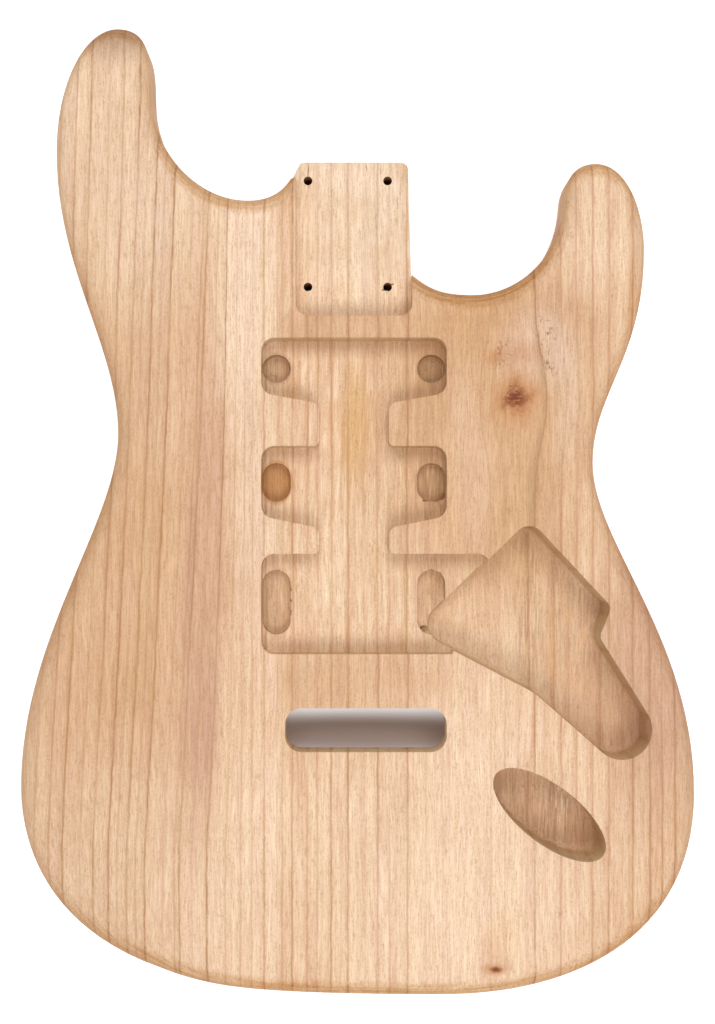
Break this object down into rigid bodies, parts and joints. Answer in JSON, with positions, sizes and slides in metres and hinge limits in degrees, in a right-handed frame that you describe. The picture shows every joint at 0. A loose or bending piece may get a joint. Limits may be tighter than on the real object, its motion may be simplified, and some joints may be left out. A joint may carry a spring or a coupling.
{
  "type": "electric guitar body",
  "caption": "Bare solid guitar body with two cutaways, edge glued from boards, routed for a bolt-on neck, three pickups, controls, an oval jack and a vibrato bridge.",
  "frame": {"origin": "on the back face, on the centre line of the neck pocket, level with the middle of the neck bolts", "axes": "+X to the treble side, +Y towards the neck, +Z out of the front face"},
  "size_m": [0.3216, 0.4579, 0.0444],
  "materials": {
    "bass_board_wood": "raw, sanded",
    "treble_board_wood": "raw, sanded",
    "wood_glue": "cured glue film"
  },
  "bodies": {
    "root": {"bass_board": "bass_board_wood", "glue_line": "wood_glue", "treble_board": "treble_board_wood"}
  },
  "joints": []
}
